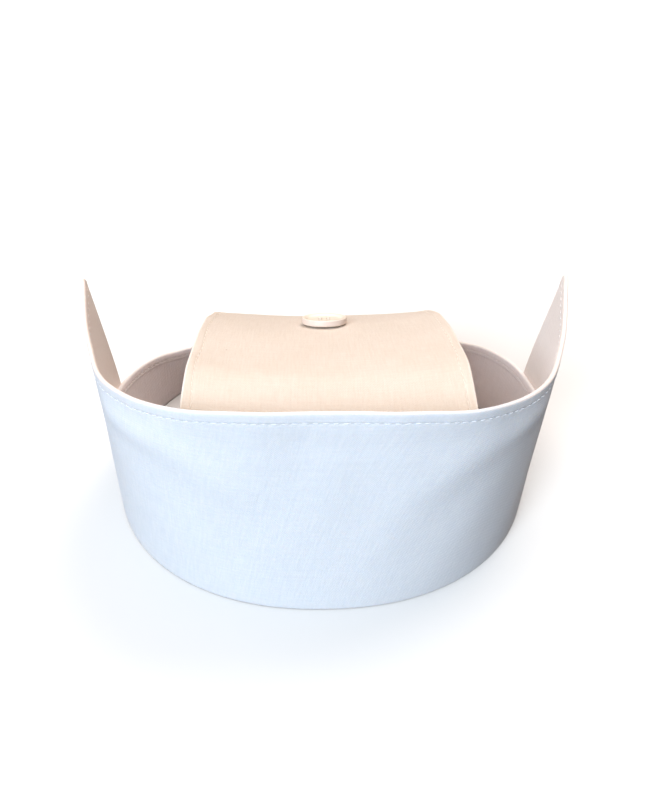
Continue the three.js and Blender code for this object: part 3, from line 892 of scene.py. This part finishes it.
def make_button():
    place, axes = button_place()
    matrix = Matrix([[*axes[r], place[r]] for r in range(3)] + [[0, 0, 0, 1]])
    radius = BUTTON_DIAMETER / 2
    dish = BUTTON_THICKNESS - BUTTON_DISH
    corner = [math.pi / 2 * k / 6 for k in range(7)]
    foot = radius - BUTTON_TAPER - BUTTON_FOOT_WIDTH
    lower = [
        (foot + BUTTON_FOOT_WIDTH * math.sin(a), BUTTON_FOOT_HEIGHT * (1 - math.cos(a))) for a in corner
    ]
    upper = [
        (
            radius - BUTTON_ROUND + BUTTON_ROUND * math.cos(a),
            BUTTON_THICKNESS - BUTTON_ROUND + BUTTON_ROUND * math.sin(a),
        )
        for a in corner
    ]
    flat = [(radius - BUTTON_ROUND - BUTTON_FLAT / 2, BUTTON_THICKNESS)]
    slope = [k / 8 for k in range(1, 9)]
    inside = [
        (
            radius - BUTTON_ROUND - BUTTON_FLAT - (BUTTON_EDGE - BUTTON_FLAT) * t,
            lerp(BUTTON_THICKNESS, dish, t * t * (3 - 2 * t)),
        )
        for t in slope
    ]
    floor = [(r, dish - BUTTON_BOWL * (1 - r / 6)) for r in (5, 4, 3, 2, 1, 0)]
    under = [(0, 0), (4, 0), (8, 0)]
    profile = under + lower + upper + flat + inside + floor
    disc = add_piece("button_disc", turned_profile("button_disc", profile, BUTTON_SIDES))
    half = BUTTON_HOLE_SPACING / 2
    corners = [(-half, -half), (half, -half), (half, half), (-half, half)]
    tool_profile = [(0, -2), (BUTTON_HOLE / 2, -2), (BUTTON_HOLE / 2, 5), (0, 5)]
    tools = []
    for x, y in corners:
        tool = add_piece("hole", turned_profile("hole", tool_profile, HOLE_SIDES))
        tools.append(tool)
        tool.location = (x * MM, y * MM, 0)
        cut = disc.modifiers.new("hole", "BOOLEAN")
        cut.operation, cut.object, cut.solver = "DIFFERENCE", tool, "EXACT"
    bpy.context.view_layer.update()
    cut_mesh = bpy.data.meshes.new_from_object(disc.evaluated_get(bpy.context.evaluated_depsgraph_get()))
    disc.modifiers.clear()
    disc.data = cut_mesh
    for tool in tools:
        bpy.data.objects.remove(tool)
    # painted shade: the faces round the button's side take the darker copy of its plastic
    for face in cut_mesh.polygons:
        outside = face.center.xy.length > foot * MM
        painted_shade_side = abs(face.normal.z) < 0.75 and outside
        face.material_index = 1 if painted_shade_side else 0
    cut_mesh.transform(matrix)
    cut_mesh.set_sharp_from_angle(angle=math.radians(50))
    top = plastic_material("button_plastic", *BUTTON_TOP)
    # a darker copy of the same plastic, painted shade for the button's side
    side = plastic_material("button_side_painted_shade", *BUTTON_SIDE_PAINTED_SHADE)
    dress(disc, "button_plastic", top, side)
    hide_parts("button")
    strands = [(x + shift, y) for x, y in corners[:2] for shift in STRAND_SHIFTS]
    reach = half + STRAND_REACH
    start = np.array([(x, -reach, dish) for x, _ in strands])
    end = np.array([(x * STRAND_CLOSING, reach, dish) for x, _ in strands])
    up = np.tile((0.0, 0.0, 1.0), (len(start), 1))
    ends = start - FOOT_MIDDLE, end - FOOT_MIDDLE
    thread = stitches("button_thread", *ends, up, STRAND_RADIUS, STRAND_RISE)
    thread.data.transform(matrix)
    dress(thread, "button_plastic", THREADS["flap"])


# Floor, lights and camera

PHOTO_HEIGHT = 807
FOCAL_PIXELS = 880
SENSOR = 36.0
CAMERA_TARGET = (-1.5, -8.0, 40.0)
CAMERA_DISTANCE = 400.0
CAMERA_AZIMUTH = -1.1
CAMERA_ELEVATION = 35.0
FLOOR_HALF = 4.0  # metres
SKY_LIGHT = 0.07  # strength of the backdrop's light on the cap
SKY_LOOK = 0.95  # and to the camera
SKY_COLOUR = (1.0, 0.96, 0.94, 1)
COOL_LIGHT = (0.82, 0.91, 1.0)
WARM_LIGHT = (1.0, 0.89, 0.82)

# Soft far lights: azimuth from the front to the right, elevation and spread in degrees
SUNS = {
    "window_light": {"azimuth": -27, "elevation": 27, "spread": 30, "strength": 3.5, "colour": COOL_LIGHT},
    "back_light_right": {"azimuth": 147, "elevation": 52, "spread": 40, "strength": 1.8, "colour": WARM_LIGHT},
    "back_light_left": {"azimuth": -130, "elevation": 60, "spread": 50, "strength": 0.55, "colour": WARM_LIGHT},
    "top_light": {"azimuth": 0, "elevation": 89, "spread": 75, "strength": 1.45, "colour": WARM_LIGHT},
}


def direction(azimuth, elevation):
    """Unit vector from the cap towards a place in front of it, turned to the right and raised, in degrees."""
    side, rise = math.radians(azimuth), math.radians(elevation)
    level = math.cos(rise)
    return Vector((math.sin(side) * level, -math.cos(side) * level, math.sin(rise)))


def add_sun(name, azimuth, elevation, spread, strength, colour):
    light = bpy.data.lights.new(name, "SUN")
    light.angle, light.energy, light.color = math.radians(spread), strength, colour
    lamp = bpy.data.objects.new(name, light)
    lamp.rotation_euler = (-direction(azimuth, elevation)).to_track_quat("-Z", "Y").to_euler()
    bpy.context.scene.collection.objects.link(lamp)


def make_floor():
    mesh = bpy.data.meshes.new("floor")
    corners = [(x * FLOOR_HALF, y * FLOOR_HALF, 0) for x, y in ((-1, -1), (1, -1), (1, 1), (-1, 1))]
    mesh.from_pydata(corners, [], [(0, 1, 2, 3)])
    floor = add_piece("floor", mesh)
    mesh.materials.append(floor_material())


def make_lights():
    """A backdrop that is bright to the camera and gives the cap little light, and the suns."""
    world = bpy.data.worlds.new("studio")
    world.use_nodes = True
    sky = world.node_tree.nodes["Background"]
    path = world.node_tree.nodes.new("ShaderNodeLightPath")
    level = world.node_tree.nodes.new("ShaderNodeMapRange")
    world.node_tree.links.new(path.outputs["Is Camera Ray"], level.inputs["Value"])
    level.inputs["To Min"].default_value = SKY_LIGHT
    level.inputs["To Max"].default_value = SKY_LOOK
    world.node_tree.links.new(level.outputs[0], sky.inputs["Strength"])
    sky.inputs["Color"].default_value = SKY_COLOUR
    bpy.context.scene.world = world
    for name, sun in SUNS.items():
        add_sun(name, **sun)
    bpy.context.scene.view_settings.view_transform = "Standard"


def make_camera():
    back = direction(CAMERA_AZIMUTH, CAMERA_ELEVATION)
    camera = bpy.data.objects.new("camera", bpy.data.cameras.new("camera"))
    camera.location = Vector(CAMERA_TARGET) * MM + back * CAMERA_DISTANCE * MM
    camera.rotation_euler = (-back).to_track_quat("-Z", "Y").to_euler()
    camera.data.sensor_width = SENSOR
    camera.data.lens = FOCAL_PIXELS * SENSOR / PHOTO_HEIGHT
    camera.data.clip_start = 0.01
    bpy.context.scene.collection.objects.link(camera)
    bpy.context.scene.camera = camera


# Every piece is the same white cotton, with painted light in its colours: painted cool light on the cuff's
# outside and on the middle of its inside, painted warm light on the rest of its inside, a pink tint of painted
# shade on the band, painted warm light darkened to cream on the flap, and painted light on every rim
CLOTHS = {
    "cuff_outside": cloth_material(
        "cotton_painted_cool_light", COOL_PAINTED_LIGHT, CUFF_RIM_PAINTED_WARM_LIGHT, hem=0.15, front=COOL_PAINTED_LIGHT[0], front_rim_painted_light=FRONT_RIM_PAINTED_COOL_LIGHT, slant=0.45
    ),
    "cuff_inside": cloth_material(
        "cotton_painted_warm_light", WARM_PAINTED_LIGHT, CUFF_RIM_PAINTED_WARM_LIGHT, front=COOL_PAINTED_LIGHT[0], front_rim_painted_light=FRONT_RIM_PAINTED_COOL_LIGHT, sheen=INNER_SHEEN
    ),
    "band_outside": cloth_material("cotton_outside_painted_shade", PINK_PAINTED_SHADE, RIM_PAINTED_HIGHLIGHT),
    "band_inside": cloth_material("cotton_inside_painted_shade", PINK_PAINTED_SHADE, RIM_PAINTED_HIGHLIGHT, sheen=INNER_SHEEN),
    "flap": cloth_material("cotton_painted_warm_cream", CREAM_PAINTED_WARM_LIGHT, RIM_PAINTED_HIGHLIGHT, speck=SPECK_PLACE),
}
# The same white thread on every seam, tinted with painted light: painted cool light outside the cuff, painted
# warm light inside, and painted warm light darkened to cream on the flap and the button
THREADS = {
    "outside": thread_material("thread_painted_cool_light", (0.9, 0.93, 0.97, 1), (0.8, 0.84, 0.9, 1)),
    "inside": thread_material("thread_painted_warm_light", (0.93, 0.87, 0.84, 1), (0.84, 0.77, 0.74, 1)),
    "flap": thread_material("thread_painted_warm_cream", (0.87, 0.8, 0.71, 1), (0.77, 0.69, 0.59, 1)),
}

make_cuff()
make_band()
make_flap()
make_button()
make_floor()
make_lights()
make_camera()
